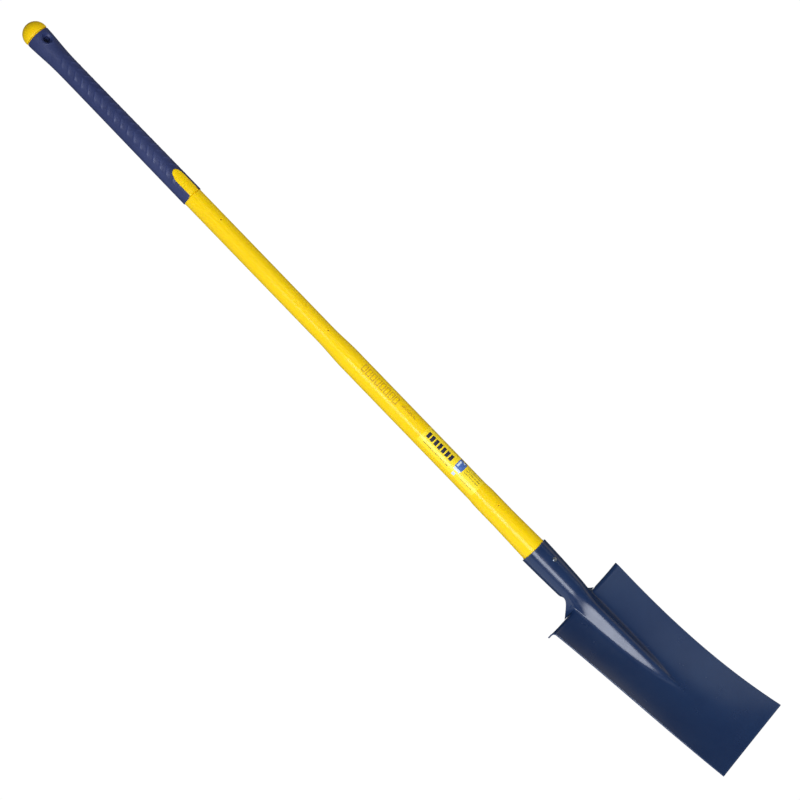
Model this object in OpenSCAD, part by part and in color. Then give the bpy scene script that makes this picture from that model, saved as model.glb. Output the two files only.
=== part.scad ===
// Trenching spade with a long straight handle, standing upright with its blade down.
// The front, which is the hollow side of the blade, faces -Y, and the width runs along X.
// The origin is the centre of the hang hole, which runs along Y through the grip and the end cap.
// A drop is a distance down from the socket's mouth, and a rise is a distance up from it.
// Forward is the distance towards the front from the shaft's axis.

/* [Layout] */
// Distance from the socket's mouth up to the hang hole
hole_rise = 952; // [930:1:960]
// Distance from the socket's mouth up to the joint between grip and end cap
cap_rise = 966; // [964:0.5:970]
// Distance from the socket's mouth up to the lower end of the grip
grip_rise = 664; // [600:1:700]

/* [Socket] */
// Outer radius of the socket at its mouth
socket_mouth_r = 20.8; // [20.2:0.1:22]
// Outer radius of the neck where it meets the blade
neck_r = 17.3; // [16.5:0.1:18]
// Drop at which the socket's rear seam starts to open
seam_open_drop = 58; // [50:1:62]
// Drop at which the opened sheet has only its front half left
half_open_drop = 74; // [72:1:78]
// Half of the angle that the rear seam leaves open, in degrees
seam_half_angle = 1.6; // [1:0.1:3]

/* [Blade] */
// Drop from the mouth to the top of the treads
tread_drop = 94.6; // [93:0.1:97]
// Drop from the mouth to the cutting edge
cut_drop = 377; // [340:1:400]
// Thickness of the pressed sheet
sheet = 2; // [1.6:0.1:2.4]
// Width of the blade at its narrowest
waist_w = 130; // [120:0.2:140]
// Share of the blade's length where it is narrowest
waist_at = 0.58; // [0.4:0.01:0.7]
// How much each side widens away from the narrowest place
waist_flare = 20; // [10:0.5:30]
// How far forward the side edges start, at the treads
edge_start = 12; // [8:0.5:14]
// How far forward the side edges lean over the blade's length
edge_lean = 31.8; // [20:0.2:34]
// How far forward the side edges curl on top of the lean
edge_curl = 26; // [15:1:32]
// Depth of the blade's hollow at the treads
dish_top = 12; // [8:0.5:13]
// Depth of the blade's hollow where it is deepest
dish_mid = 13.2; // [9:0.2:15]
// Depth of the blade's hollow at the cutting edge
dish_cut = 5; // [2:0.5:6]

/* [Rib] */
// Forward place of the rib's ridge where it leaves the neck
ridge_start = 14.5; // [13:0.5:17]
// How far forward the ridge climbs for each millimetre of drop
ridge_climb = 0.055; // [0.04:0.005:0.07]
// Slope of the rib's sides where the rib is highest
rib_slope = 0.9; // [0.8:0.05:1.1]
// Width of the rounding over the ridge
ridge_round = 5; // [3:0.5:7]
// Size of the rounding in the valley beside the rib
valley_round = 2.2; // [1:0.2:4]

/* [Treads] */
// How far each tread reaches back from the blade beside the neck
tread_inner_depth = 15; // [12:0.5:18]
// How far each tread reaches back from the blade at its outer end
tread_outer_depth = 12; // [10:0.5:15]
// Outside radius of the bend between blade and tread
tread_bend = 6.5; // [5:0.5:8]
// Distance of each tread's inner end from the middle
tread_inner = 31.5; // [28:0.5:36]
// How far the treads' outer ends fan out for each millimetre that they reach back
tread_fan = 0.156; // [0:0.002:0.2]
// How much higher the treads are at their outer ends
tread_bow = 2.2; // [0:0.2:4]

/* [Rivet] */
// Radius of the rivet's shank
rivet_r = 2; // [1.5:0.1:2.5]
// Radius of the rivet's domed head
rivet_head_r = 3.4; // [2.8:0.1:4]
// Height of the rivet's domed head
rivet_head_h = 1.2; // [0.8:0.1:1.6]
// Drop of the rivet below the socket's mouth
rivet_drop = 27.8; // [20:0.2:40]
// Turn of the rivet away from the front line, in degrees
rivet_turn = 6; // [0:1:10]

/* [Shaft] */
// Radius of the upper shaft
shaft_r = 14.2; // [13.8:0.1:14.6]
// Radius of the lower, thicker shaft
swell_r = 15.9; // [15.4:0.1:16.4]
// Radius of the sleeve where it enters the socket
sleeve_mouth_r = 18.1; // [17.6:0.1:18.3]
// Radius of the sleeve's collar above the socket
collar_r = 16.75; // [16.4:0.05:17.2]
// Rise at which the collar starts to flare towards the mouth
flare_rise = 58; // [40:1:70]
// Rise at which the collar ends
collar_rise = 112; // [104:1:120]
// Length of the step between collar and lower shaft
collar_step = 16; // [8:1:20]
// Rise at which the lower shaft starts to narrow
swell_rise = 358; // [330:1:370]
// Rise at which the upper shaft reaches its own radius
slim_rise = 405; // [390:1:430]
// Length of the sleeve inside the socket
nose_len = 88; // [84:1:90]
// Radius of the rounding on the sleeve's nose
nose_round = 5; // [3:0.5:6]
// Radius of the small marks that the moulding pins left in the sleeve
pin_mark_r = 1.3; // [1:0.1:1.6]
// Depth of those marks
pin_mark_depth = 1.5; // [1:0.1:2]

/* [Core] */
// Outer radius of the fibreglass tube
core_r = 10; // [9.5:0.1:10.5]
// Wall of the fibreglass tube
core_wall = 3; // [2.5:0.1:3.5]
// Rise of the tube's upper end
core_top_rise = 898; // [880:1:898]
// Length of the stem of each plug inside the tube
plug_stem = 20; // [15:1:30]
// Thickness of the flange on each plug
plug_flange = 3; // [2:0.5:4]

/* [Grip] */
// Inner radius of the grip
grip_bore_r = 11.85; // [11.6:0.05:12.2]
// Radius of the grip at its lower end
grip_end_r = 15.4; // [15.2:0.05:15.8]
// Radius of the grip at its slimmest
grip_waist_r = 14.7; // [14.4:0.05:15.2]
// Radius of the grip's top, where it meets the end cap
grip_top_r = 17.6; // [17.2:0.1:18]
// Length of the flared top of the grip
grip_flare_len = 75; // [60:1:90]
// Length of the tongue window above the grip's lower end
tongue_len = 43; // [36:1:48]
// Half-width of the tongue window
tongue_half_w = 8.6; // [8:0.1:9.5]

/* [End cap] */
// Largest radius of the dome
dome_r = 18; // [17.6:0.1:18.4]
// Height of the dome above the grip
dome_h = 21.5; // [19:0.5:24]
// Drop of the cap's wide spigot below the dome
spigot_len = 40; // [36:1:44]
// Length of the thin pilot under the spigot
pilot_len = 24; // [20:1:24]

/* [Hang hole] */
// Radius of the hang hole
hang_r = 4.75; // [4:0.05:5.2]
// Radius of the dished mouth on each side
hang_mouth_r = 7; // [6.4:0.1:7.4]
// Depth of the dished mouth at the middle
hang_mouth_depth = 2.4; // [1.8:0.1:2.8]

/* [Label] */
// Rise of the label's lower end
label_rise = 112; // [112:1:140]
// Length of the label along the shaft
label_len = 106; // [80:1:120]
// Angle that the label wraps around the shaft, in degrees
label_wrap = 112; // [50:1:140]
// How far the label's middle is turned away from the front, in degrees
label_turn = -10; // [-20:1:20]
// Thickness of the label
label_t = 0.12; // [0.08:0.01:0.2]

/* [Hidden] */
$fn = 96;
// Clearance between pieces that lie against each other
gap = 0.05;
// Clearance between the sleeve's nose and the inside of the socket
socket_gap = 0.25;
// Share of its own depth by which the middle of the cutting edge dips
cut_bow = 0.22;
// Drop over which the bow at the treads' outer ends fades out down the blade
bow_len = 45;
// How fast the sheet's rear edge sweeps out from the neck to a tread
leg_sweep = 2.4;
// Share of that edge which stays as far back as the tread before it comes forward
leg_start = 0.1;
// How the gusset between rib and tread spreads sideways
leg_spread = 1.4;
// How far above the treads' top the gusset's middle row lies
leg_lift = 1;
// Drop at which the half tube has become the rounded roof of the rib
roof_drop = 118;
// Half width that the rib's lanes cover at the neck and below the rib
rib_lane_w = [18, 10];
// Drop below which the rib's lanes no longer draw together
rib_lane_drop = 300;
// Share of a tread's rows that makes the bend
bend_share = 0.6;
// How sharply the dip of the cutting edge fades out up the blade
bow_power = 8;
// Half of the step over which a slope is measured
probe = 0.05;
pin_mark_rises = [614, 406, 77];
// Radius of the rounding at the open corners of the tongue's window
tongue_corner = 3.5;
// Length of the tongue's round tip for each millimetre of its half width
tongue_tip_ratio = 1.7;
// Rounding at the grip's lower end
grip_corner = 1.2;
// How far a cutter or a joined piece reaches past the face that it meets
overlap = 1;
core_end_drop = nose_len - 12;
bend_drop = tread_drop + tread_bend;
sleeve_top_rise = cap_rise - spigot_len;
sleeve_under_grip_r = grip_bore_r - gap;
tongue_r = grip_end_r - 4 * gap;

// Lanes run across the sheet, from 0 at the ridge to the last one at each edge
rib_lanes = 12;
neck_lanes = 17;
all_lanes = 25;
// Rows run up the sheet, from 0 at the cutting edge to the last one at the socket's mouth
blade_rows = 20;
tread_rows = 7;
leg_rows = 8;
wrap_rows = 5;
tube_rows = 4;
leg_start_row = blade_rows + tread_rows;
wrap_start = leg_start_row + leg_rows;
tube_start = wrap_start + wrap_rows;
last_row = tube_start + tube_rows;

// Smooth step from 0 to 1 while x goes from a to b
function ease(a, b, x) =
    let (q = min(1, max(0, (x - a) / (b - a))))
    q * q * (3 - 2 * q);
function mix(a, b, q) = a + (b - a) * q;
// The larger of two heights, with a rounding of size k where they cross
function soft_max(a, b, k) = (a + b + sqrt(pow(a - b, 2) + k * k)) / 2;
function unit(v) = v / norm(v);

// ---- The pressed head: one sheet, given by its front surface and its thickness ----

function blade_share(drop) = (drop - tread_drop) / (cut_drop - tread_drop);
function socket_r(drop) =
    let (q = drop / tread_drop)
    mix(socket_mouth_r, neck_r, (q + q * q) / 2);
function half_w(u) = waist_w / 2 + waist_flare * pow(u - waist_at, 2);
function edge_forward(u) = edge_start + edge_lean * u + edge_curl * pow(max(u, 0), 3);
// Depth of the hollow at a distance from the middle
function hollow(x, u) =
    let (upper = mix(dish_top, dish_mid, ease(0.05, 0.4, u)))
    mix(upper, dish_cut, pow(max(u, 0), 3)) * (1 - pow(x / half_w(u), 2));
function wing_forward(x, u) = edge_forward(u) - hollow(x, u);

// The rib is half a tube at the neck and a rounded roof further down
function tube_forward(x, r) = x < r ? sqrt(r * r - x * x) : 2 * (r - x);
function roof_forward(x, drop) =
    let (rise = norm([x, ridge_round]) - ridge_round)
    ridge_start + ridge_climb * (drop - tread_drop) - rib_slope * rise;
function rib_forward(x, drop) =
    let (q = ease(half_open_drop, roof_drop, drop))
    mix(tube_forward(x, socket_r(drop)), roof_forward(x, drop), q);
function front_forward(x, drop) =
    let (k = valley_round * ease(half_open_drop, tread_drop, drop))
    soft_max(rib_forward(x, drop), wing_forward(x, blade_share(drop)), k);

// Distance of a lane from the middle: even angles on the tube, even steps on the blade
function lane_x(lane, drop) =
    let (rib_x = mix(rib_lane_w[0], rib_lane_w[1], ease(tread_drop, rib_lane_drop, drop)))
    let (on_tube = socket_r(drop) * sin(90 * lane / neck_lanes))
    let (opened = ease(half_open_drop, tread_drop, drop))
    let (edge_x = half_w(blade_share(drop)))
    lane <= rib_lanes ? mix(on_tube, rib_x * lane / rib_lanes, opened)
    : lane <= neck_lanes ? mix(rib_x, tread_inner, leg_share(lane))
    : mix(tread_inner, edge_x, tread_share(lane));
// Share of the way across a gusset, and across a tread
function leg_share(n) = (n - rib_lanes) / (neck_lanes - rib_lanes);
function tread_share(n) = max(0, (n - neck_lanes) / (all_lanes - neck_lanes));
function square_to(down, across) = unit(cross(down, across));

// Places on the front surface are [across, forward, drop], at a lane with a sign
function tube_point(lane, drop) =
    let (wrap = mix(180 - seam_half_angle, 90, ease(seam_open_drop, half_open_drop, drop)))
    let (a = wrap * lane / neck_lanes)
    [socket_r(drop) * sin(a), socket_r(drop) * cos(a), drop];
function tube_normal(lane, drop) =
    square_to(
        tube_point(lane, drop + probe) - tube_point(lane, max(drop - probe, 0)),
        tube_point(lane + probe, drop) - tube_point(lane - probe, drop)
    );

// The blade's upper rows bow upwards towards its sides, and the middle of its cutting edge
// dips, so that the edge looks straight from the front
function blade_point(lane, drop) =
    let (n = abs(lane))
    let (fade = 1 - ease(bend_drop, bend_drop + bow_len, drop))
    let (level = drop - tread_bow * pow(tread_share(n), 2) * fade)
    let (x = lane_x(n, level))
    let (u = blade_share(level))
    let (dip = cut_bow * pow(max(u, 0), bow_power) * hollow(x, u))
    [sign(lane) * x, front_forward(x, level), level + dip];
function blade_normal(lane, drop) =
    square_to(
        blade_point(lane, drop + probe) - blade_point(lane, drop - probe),
        blade_point(lane + probe, drop) - blade_point(lane - probe, drop)
    );

// A tread leaves the blade at a tangent, bends back a quarter turn and runs straight.
// Along it, g goes from 0 on the blade to 1 at its rear edge.
function tread_turn(g) = 90 * min(1, g / bend_share);
function tread_up(n) = unit(cross(n, cross(n, [0, 0, 1])));
function tread_point(lane, g) =
    let (share = tread_share(abs(lane)))
    let (straight = mix(tread_inner_depth, tread_outer_depth, share) - tread_bend)
    let (back = tread_bend * (1 - cos(tread_turn(g)))
        + straight * max(0, (g - bend_share) / (1 - bend_share)))
    let (n = blade_normal(lane, bend_drop))
    blade_point(lane, bend_drop) + [sign(lane) * tread_fan * share * back, 0, 0]
    + tread_bend * sin(tread_turn(g)) * tread_up(n) - back * n;
function tread_normal(lane, g) =
    let (n = blade_normal(lane, bend_drop))
    cos(tread_turn(g)) * n + sin(tread_turn(g)) * tread_up(n);

// The sheet's rear edge beside the neck, from a tread's inner corner up to the open tube
rear_corner = tread_point(neck_lanes, 1);
function rear_edge(p) =
    let (r = socket_r(half_open_drop))
    [
        r + (rear_corner[0] - r) * pow(1 - p, leg_sweep),
        rear_corner[1] * (1 - ease(leg_start, 1, p)),
        mix(rear_corner[2], half_open_drop, p)
    ];

// In the neck g is 0 on the blade, 1 level with the treads and 2 where the tube opens.
// The rib runs up its middle, and a gusset fills each corner between the rib and a tread.
function neck_drop(g) =
    let (level = tread_drop - leg_lift)
    g < 1 ? mix(bend_drop, level, g) : mix(level, half_open_drop, g - 1);
function leg_point(n, g) =
    let (side = blade_point(rib_lanes, neck_drop(g)))
    let (outer = g < 1 ? tread_point(neck_lanes, g) : rear_edge(g - 1))
    let (q = leg_share(n))
    [
        mix(side[0], outer[0], pow(q, leg_spread)),
        mix(side[1], outer[1], q),
        mix(side[2], outer[2], q)
    ];
function gusset_point(n, g) =
    leg_point(n, g)
    + (blade_point(n, bend_drop) - leg_point(n, 0)) * (1 - ease(0, 1, g))
    + (tube_point(n, half_open_drop) - leg_point(n, 2)) * ease(1.5, 2, g);
function neck_point(lane, g) =
    let (n = abs(lane))
    let (p = n <= rib_lanes ? blade_point(n, neck_drop(g)) : gusset_point(n, g))
    [lane < 0 ? -p[0] : p[0], p[1], p[2]];
function neck_normal(lane, g) =
    let (right = min(lane + probe, neck_lanes))
    let (left = max(lane - probe, -neck_lanes))
    square_to(
        neck_point(lane, max(g - probe, 0)) - neck_point(lane, min(g + probe, 2)),
        neck_point(right, g) - neck_point(left, g)
    );

function lanes_of(row) = row <= leg_start_row ? all_lanes : neck_lanes;
// Every point of the sheet's front with its normal
function spots_of(lane, row) =
    row < blade_rows
        ? let (drop = mix(cut_drop, bend_drop, row / blade_rows))
          [blade_point(lane, drop), blade_normal(lane, drop)]
    : row <= leg_start_row
        ? let (g = (row - blade_rows) / tread_rows)
          abs(lane) > neck_lanes ? [tread_point(lane, g), tread_normal(lane, g)]
          : [neck_point(lane, g), neck_normal(lane, g)]
    : row < wrap_start
        ? let (g = 1 + (row - leg_start_row) / leg_rows)
          [neck_point(lane, g), neck_normal(lane, g)]
    : let (drop = row <= tube_start
        ? mix(half_open_drop, seam_open_drop, (row - wrap_start) / wrap_rows)
        : mix(seam_open_drop, 0, (row - tube_start) / tube_rows))
      [tube_point(lane, drop), tube_normal(lane, drop)];
function placed(p) = [p[0], -p[1], mouth_z - p[2]];

// Numbers of the front points
wide_count = 2 * all_lanes + 1;
narrow_count = 2 * neck_lanes + 1;
wide_point_count = (leg_start_row + 1) * wide_count;
front_count = wide_point_count + (last_row - leg_start_row) * narrow_count;
mouth_z = -hole_rise;
function spot(lane, row) =
    row <= leg_start_row ? row * wide_count + lane + all_lanes
    : wide_point_count + (row - leg_start_row - 1) * narrow_count + lane + neck_lanes;

// A cell of four front points gives its front face and the matching back face
function cell(a, b, c, d) = [
    [a, b, c], [a, c, d],
    [a + front_count, c + front_count, b + front_count],
    [a + front_count, d + front_count, c + front_count]
];
function cells() = [
    for (row = [0:last_row - 1])
    for (lane = [-lanes_of(row + 1):lanes_of(row + 1) - 1])
    each cell(spot(lane, row), spot(lane, row + 1), spot(lane + 1, row + 1), spot(lane + 1, row))
];

// The sheet's outline, walked once around: cutting edge, right side, mouth, left side
function outline() = concat(
    [for (lane = [-all_lanes:all_lanes]) spot(lane, 0)],
    [for (row = [1:leg_start_row]) spot(all_lanes, row)],
    [for (lane = [all_lanes - 1:-1:neck_lanes]) spot(lane, leg_start_row)],
    [for (row = [leg_start_row + 1:last_row]) spot(neck_lanes, row)],
    [for (lane = [neck_lanes - 1:-1:-neck_lanes]) spot(lane, last_row)],
    [for (row = [last_row - 1:-1:leg_start_row]) spot(-neck_lanes, row)],
    [for (lane = [-neck_lanes - 1:-1:-all_lanes]) spot(lane, leg_start_row)],
    [for (row = [leg_start_row - 1:-1:1]) spot(-all_lanes, row)]
);
function rim_faces() =
    let (rim = outline())
    [
        for (i = [0:len(rim) - 1])
        let (a = rim[i])
        let (b = rim[(i + 1) % len(rim)])
        each [[a, a + front_count, b + front_count], [a, b + front_count, b]]
    ];

// A back point is its front point moved in by the thickness
module pressed_sheet() {
    spots = [
        for (row = [0:last_row])
        for (lane = [-lanes_of(row):lanes_of(row)])
        spots_of(lane, row)
    ];
    fronts = [for (s = spots) placed(s[0])];
    backs = [for (s = spots) placed(s[0] - sheet * s[1])];
    polyhedron(points = concat(fronts, backs), faces = concat(cells(), rim_faces()), convexity = 10);
}

// ---- Shared shapes ----

// Stands what it holds on the rivet's axis, with z pointing out of the socket
module on_rivet_axis() {
    translate([0, 0, mouth_z - rivet_drop])
    rotate([0, 0, rivet_turn])
    rotate([90, 0, 0])
    children();
}
module rivet_hole() {
    on_rivet_axis()
    cylinder(r = rivet_r + gap, h = socket_mouth_r + rivet_head_r);
}
// The hang hole with a cone at each end that meets the grip's surface
module hang_hole() {
    mouth_y = grip_top_r - hang_mouth_depth;
    cone_h = 2 * hang_mouth_depth;
    rotate([90, 0, 0])
    cylinder(r = hang_r, h = 4 * dome_r, center = true);
    for (side = [-1, 1])
        rotate([side * 90, 0, 0])
        translate([0, 0, mouth_y])
        cylinder(r1 = hang_r, r2 = 2 * hang_mouth_r - hang_r, h = cone_h);
}
// Outline of the tongue, from its open lower end up to its round tip
function tongue_w(z, w, len) =
    let (tip_len = tongue_tip_ratio * w)
    let (q = max(0, (z - len + tip_len) / tip_len))
    let (c = max(0, tongue_corner - z))
    w * sqrt(max(0, 1 - q * q)) + tongue_corner - sqrt(pow(tongue_corner, 2) - c * c);
module tongue_outline(w, len) {
    steps = 28;
    side = [for (i = [0:steps]) let (z = len * sin(90 * i / steps)) [tongue_w(z, w, len), z]];
    other = [for (i = [steps - 1:-1:0]) [-side[i][0], side[i][1]]];
    translate([0, 0, mouth_z + grip_rise])
    rotate([90, 0, 0])
    linear_extrude(height = 2 * grip_end_r)
    polygon(concat(side, other));
}

// ---- Pieces ----

module spade_head() {
    color("#26334f")
    difference() {
        pressed_sheet();
        rivet_hole();
    }
}

module socket_rivet() {
    base = socket_r(rivet_drop) + gap;
    ball = (pow(rivet_head_r, 2) + pow(rivet_head_h, 2)) / (2 * rivet_head_h);
    color("#c9ccd2")
    on_rivet_axis() {
        translate([0, 0, core_r - core_wall - overlap])
        cylinder(r = rivet_r, h = base - core_r + core_wall + overlap);
        translate([0, 0, base])
        intersection() {
            cylinder(r = rivet_head_r, h = rivet_head_h);
            translate([0, 0, rivet_head_h - ball])
            sphere(r = ball);
        }
    }
}

// Radius of the yellow sleeve at a rise above the mouth, or inside the socket
function nose_r(drop) = min(sleeve_mouth_r, socket_r(drop) - sheet - socket_gap);
function sleeve_r(rise) =
    rise < flare_rise ? mix(sleeve_mouth_r, collar_r, rise / flare_rise)
    : rise < collar_rise ? mix(collar_r, swell_r, ease(collar_rise - collar_step, collar_rise, rise))
    : mix(swell_r, shaft_r, ease(swell_rise, slim_rise, rise));
function sleeve_profile() =
    let (end_r = nose_r(nose_len) - nose_round)
    concat(
        [[0, -nose_len]],
        [for (a = [0:15:75]) [end_r + nose_round * sin(a), nose_round * (1 - cos(a)) - nose_len]],
        [for (i = [0:6]) let (drop = (nose_len - nose_round) * (1 - i / 6)) [nose_r(drop), -drop]],
        [[collar_r, flare_rise]],
        [for (q = [0:1 / 6:1]) let (z = collar_rise - collar_step * (1 - q)) [sleeve_r(z), z]],
        [for (q = [0:1 / 10:1]) let (z = mix(swell_rise, slim_rise, q)) [sleeve_r(z), z]],
        [
            [shaft_r, grip_rise - gap],
            [sleeve_under_grip_r, grip_rise - gap],
            [sleeve_under_grip_r, sleeve_top_rise - gap],
            [core_r + gap, sleeve_top_rise - gap],
            [core_r + gap, -core_end_drop - plug_flange - gap],
            [0, -core_end_drop - plug_flange - gap]
        ]
    );

module tongue() {
    intersection() {
        translate([0, 0, mouth_z + grip_rise - gap])
        cylinder(r = tongue_r, h = tongue_len + overlap);
        tongue_outline(tongue_half_w - 2 * gap, tongue_len - 2 * gap);
    }
}

module shaft_sleeve() {
    color("#ffd400")
    difference() {
        union() {
            translate([0, 0, mouth_z])
            rotate_extrude()
            polygon(sleeve_profile());
            difference() {
                tongue();
                translate([0, 0, mouth_z + grip_rise - overlap])
                cylinder(r = core_r + overlap, h = tongue_len + 4 * overlap);
            }
        }
        rivet_hole();
        for (rise = pin_mark_rises)
            translate([0, pin_mark_depth - sleeve_r(rise), mouth_z + rise])
            rotate([90, 0, 0])
            cylinder(r = pin_mark_r, h = 2 * pin_mark_depth);
    }
}

module core_tube() {
    tube_len = core_top_rise + core_end_drop;
    color("#d8d2b8")
    difference() {
        translate([0, 0, mouth_z - core_end_drop])
        difference() {
            cylinder(r = core_r, h = tube_len);
            translate([0, 0, -overlap])
            cylinder(r = core_r - core_wall, h = tube_len + 2 * overlap);
        }
        rivet_hole();
    }
}

// A plug with its flange down: the stem goes up into the tube
module core_plug() {
    cylinder(r = core_r, h = plug_flange);
    cylinder(r = core_r - core_wall - gap, h = plug_flange + plug_stem);
}

module core_tip_plug() {
    color("#4a4a4a")
    translate([0, 0, mouth_z - core_end_drop - plug_flange])
    core_plug();
}

module core_top_plug() {
    color("#4a4a4a")
    translate([0, 0, mouth_z + core_top_rise + plug_flange])
    rotate([180, 0, 0])
    core_plug();
}

function grip_r(rise) =
    let (flare = pow(ease(cap_rise - grip_flare_len, cap_rise, rise), 2))
    mix(grip_end_r, grip_waist_r, ease(grip_rise, cap_rise - grip_flare_len, rise))
    + (grip_top_r - grip_waist_r) * flare;
function grip_profile() =
    let (low = grip_rise + grip_corner)
    let (flare_start = cap_rise - grip_flare_len)
    concat(
        [[grip_bore_r, grip_rise], [grip_end_r - grip_corner, grip_rise]],
        [for (i = [0:11]) let (z = mix(low, flare_start, i / 12)) [grip_r(z), z]],
        [for (i = [0:12]) let (z = mix(flare_start, cap_rise, i / 12)) [grip_r(z), z]],
        [[grip_bore_r, cap_rise]]
    );

module hand_grip() {
    color("#2b3068")
    difference() {
        translate([0, 0, mouth_z])
        rotate_extrude()
        polygon(grip_profile());
        tongue_outline(tongue_half_w, tongue_len);
        hang_hole();
    }
}

// The dome is part of an ellipse that is a little wider than the grip's top
function dome_profile() =
    let (lean = acos(grip_top_r / dome_r))
    let (tall = dome_h / (1 + sin(lean)))
    [
        for (i = [0:16])
        let (a = mix(-lean, 90, i / 16))
        [i == 16 ? 0 : dome_r * cos(a), tall * (sin(a) + sin(lean))]
    ];

module end_cap() {
    color("#ffcf00")
    difference() {
        union() {
            translate([0, 0, mouth_z + cap_rise + gap])
            rotate_extrude()
            polygon(concat([[0, 0]], dome_profile()));
            translate([0, 0, mouth_z + sleeve_top_rise])
            cylinder(r = sleeve_under_grip_r, h = spigot_len + overlap);
            translate([0, 0, mouth_z + sleeve_top_rise - pilot_len])
            cylinder(r = core_r, h = pilot_len + overlap);
        }
        hang_hole();
    }
}

module label_film() {
    color("#f2c400")
    translate([0, 0, mouth_z + label_rise])
    rotate([0, 0, label_turn - 90 - label_wrap / 2])
    rotate_extrude(angle = label_wrap)
    translate([swell_r + gap / 5, 0])
    square([label_t, label_len]);
}

spade_head();
socket_rivet();
shaft_sleeve();
core_tube();
core_tip_plug();
core_top_plug();
hand_grip();
end_cap();
label_film();
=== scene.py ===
import math

import bmesh
import bpy
import numpy as np
from mathutils import Matrix, Vector


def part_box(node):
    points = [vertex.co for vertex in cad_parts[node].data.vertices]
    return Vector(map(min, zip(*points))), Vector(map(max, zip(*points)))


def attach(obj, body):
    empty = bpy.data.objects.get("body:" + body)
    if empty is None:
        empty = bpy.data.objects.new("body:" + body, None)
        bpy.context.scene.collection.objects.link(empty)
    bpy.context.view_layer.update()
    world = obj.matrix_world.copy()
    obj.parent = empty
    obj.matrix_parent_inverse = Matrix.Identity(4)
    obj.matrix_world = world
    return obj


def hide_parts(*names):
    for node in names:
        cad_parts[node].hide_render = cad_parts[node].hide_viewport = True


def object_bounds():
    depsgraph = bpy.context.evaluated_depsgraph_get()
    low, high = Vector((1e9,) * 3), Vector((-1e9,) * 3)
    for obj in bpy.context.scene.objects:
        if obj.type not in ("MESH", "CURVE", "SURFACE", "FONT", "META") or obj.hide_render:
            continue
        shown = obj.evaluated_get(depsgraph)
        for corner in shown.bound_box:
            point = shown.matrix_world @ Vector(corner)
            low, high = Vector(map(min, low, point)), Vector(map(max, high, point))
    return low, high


# The looks of a trenching spade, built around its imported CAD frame.
# The tool stands upright with its blade down, and its front faces -Y.
# Shapes are worked out in millimetres as (across, forward, drop), where a drop is measured down
# from the socket's mouth and a rise up from it, and placed() turns them into metres in the frame.

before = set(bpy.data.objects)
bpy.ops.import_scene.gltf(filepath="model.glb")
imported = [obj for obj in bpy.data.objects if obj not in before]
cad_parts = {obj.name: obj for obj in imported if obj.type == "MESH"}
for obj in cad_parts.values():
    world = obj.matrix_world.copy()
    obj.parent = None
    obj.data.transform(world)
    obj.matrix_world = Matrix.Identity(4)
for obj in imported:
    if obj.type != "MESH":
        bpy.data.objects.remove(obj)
cad_low, cad_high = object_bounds()

MM = 0.001
ROOT = "root"

# ---- Sizes that come from the frame ----

head_low, head_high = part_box("spade_head")
sleeve_low, sleeve_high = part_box("shaft_sleeve")
grip_low, grip_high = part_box("hand_grip")
cap_low, cap_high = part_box("end_cap")
label_low, label_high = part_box("label_film")

MOUTH_Z = head_high.z
# How far the head's lowest point lies below the front corners of its cutting edge
CUT_DIP = 1.96
CUT_DROP = (MOUTH_Z - head_low.z) / MM - CUT_DIP
NOSE_DROP = (MOUTH_Z - sleeve_low.z) / MM
GRIP_RISE = (grip_low.z - MOUTH_Z) / MM
CAP_RISE = (grip_high.z - MOUTH_Z) / MM
DOME_RISE = (cap_high.z - MOUTH_Z) / MM
SPIGOT_RISE = (cap_low.z - MOUTH_Z) / MM
SLEEVE_TOP_RISE = (sleeve_high.z - MOUTH_Z) / MM
LABEL_LOW = (label_low.z - MOUTH_Z) / MM
LABEL_HIGH = (label_high.z - MOUTH_Z) / MM
# The frame's origin is the middle of the hang hole
HANG_RISE = -MOUTH_Z / MM

# ---- Driving dimensions of the design, in millimetres ----

SHEET = 2.0
# Small gap between faces that would otherwise share a plane
TOUCH_GAP = 0.05

# The socket is rolled into a tube that opens at the back on its way down to the blade
SOCKET_MOUTH_R = 20.8
NECK_R = 17.3
SEAM_OPEN_DROP = 58.0
HALF_OPEN_DROP = 74.0
SEAM_HALF_ANGLE = math.radians(1.6)

# The treads, which are TREAD_DEPTH deep at the neck and at the blade's outer edges
TREAD_DROP = 94.6
TREAD_BEND = 6.5
TREAD_DEPTH = (15.0, 12.0)
TREAD_INNER = 31.5
TREAD_FAN = 0.156
TREAD_BOW = 2.2
BEND_DROP = TREAD_DROP + TREAD_BEND
# Length over which the treads' bow fades out, down the blade
BOW_LEN = 45.0
# Share of the way over a tread that its bend takes
BEND_SHARE = 0.6

# The rear edge beside the neck: how sharply it closes in, where it starts to come forward, and
# how its rows spread across
LEG_SWEEP = 2.4
LEG_START = 0.1
LEG_SPREAD = 1.4

# The blade: its width, how far forward its edges are, and how deep it is hollowed: at the top,
# from DISH_DEEPENS (shares of its length) on, and at the cutting edge
WAIST_W = 130.0
WAIST_AT = 0.58
WAIST_FLARE = 20.0
EDGE_START = 12.0
EDGE_LEAN = 31.8
EDGE_CURL = 26.0
CURL_POWER = 3
DISH_TOP = 12.0
DISH_MID = 13.2
DISH_CUT = 5.0
DISH_DEEPENS = (0.05, 0.4)
# The cutting edge dips by this share of the hollow's depth
CUT_BOW = 0.22
CUT_BOW_POWER = 8
# The rim is rounded through points at (share of the thickness, how far out)
RIM_ROUNDING = ((0.16, 0.26), (0.5, 0.34), (0.84, 0.26))

# The rib that runs down from the neck, and the valley on either side of it
RIDGE_START = 14.5
RIDGE_CLIMB = 0.055
RIB_SLOPE = 0.9
RIDGE_ROUND = 5.0
VALLEY_ROUND = 2.2
ROOF_DROP = 118.0

# Lanes run down the sheet, counted out from its middle to the sides of the rib, neck and blade
RIB_LANES, NECK_LANES, ALL_LANES = 12, 17, 25
LANE_STEPS = 5
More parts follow.
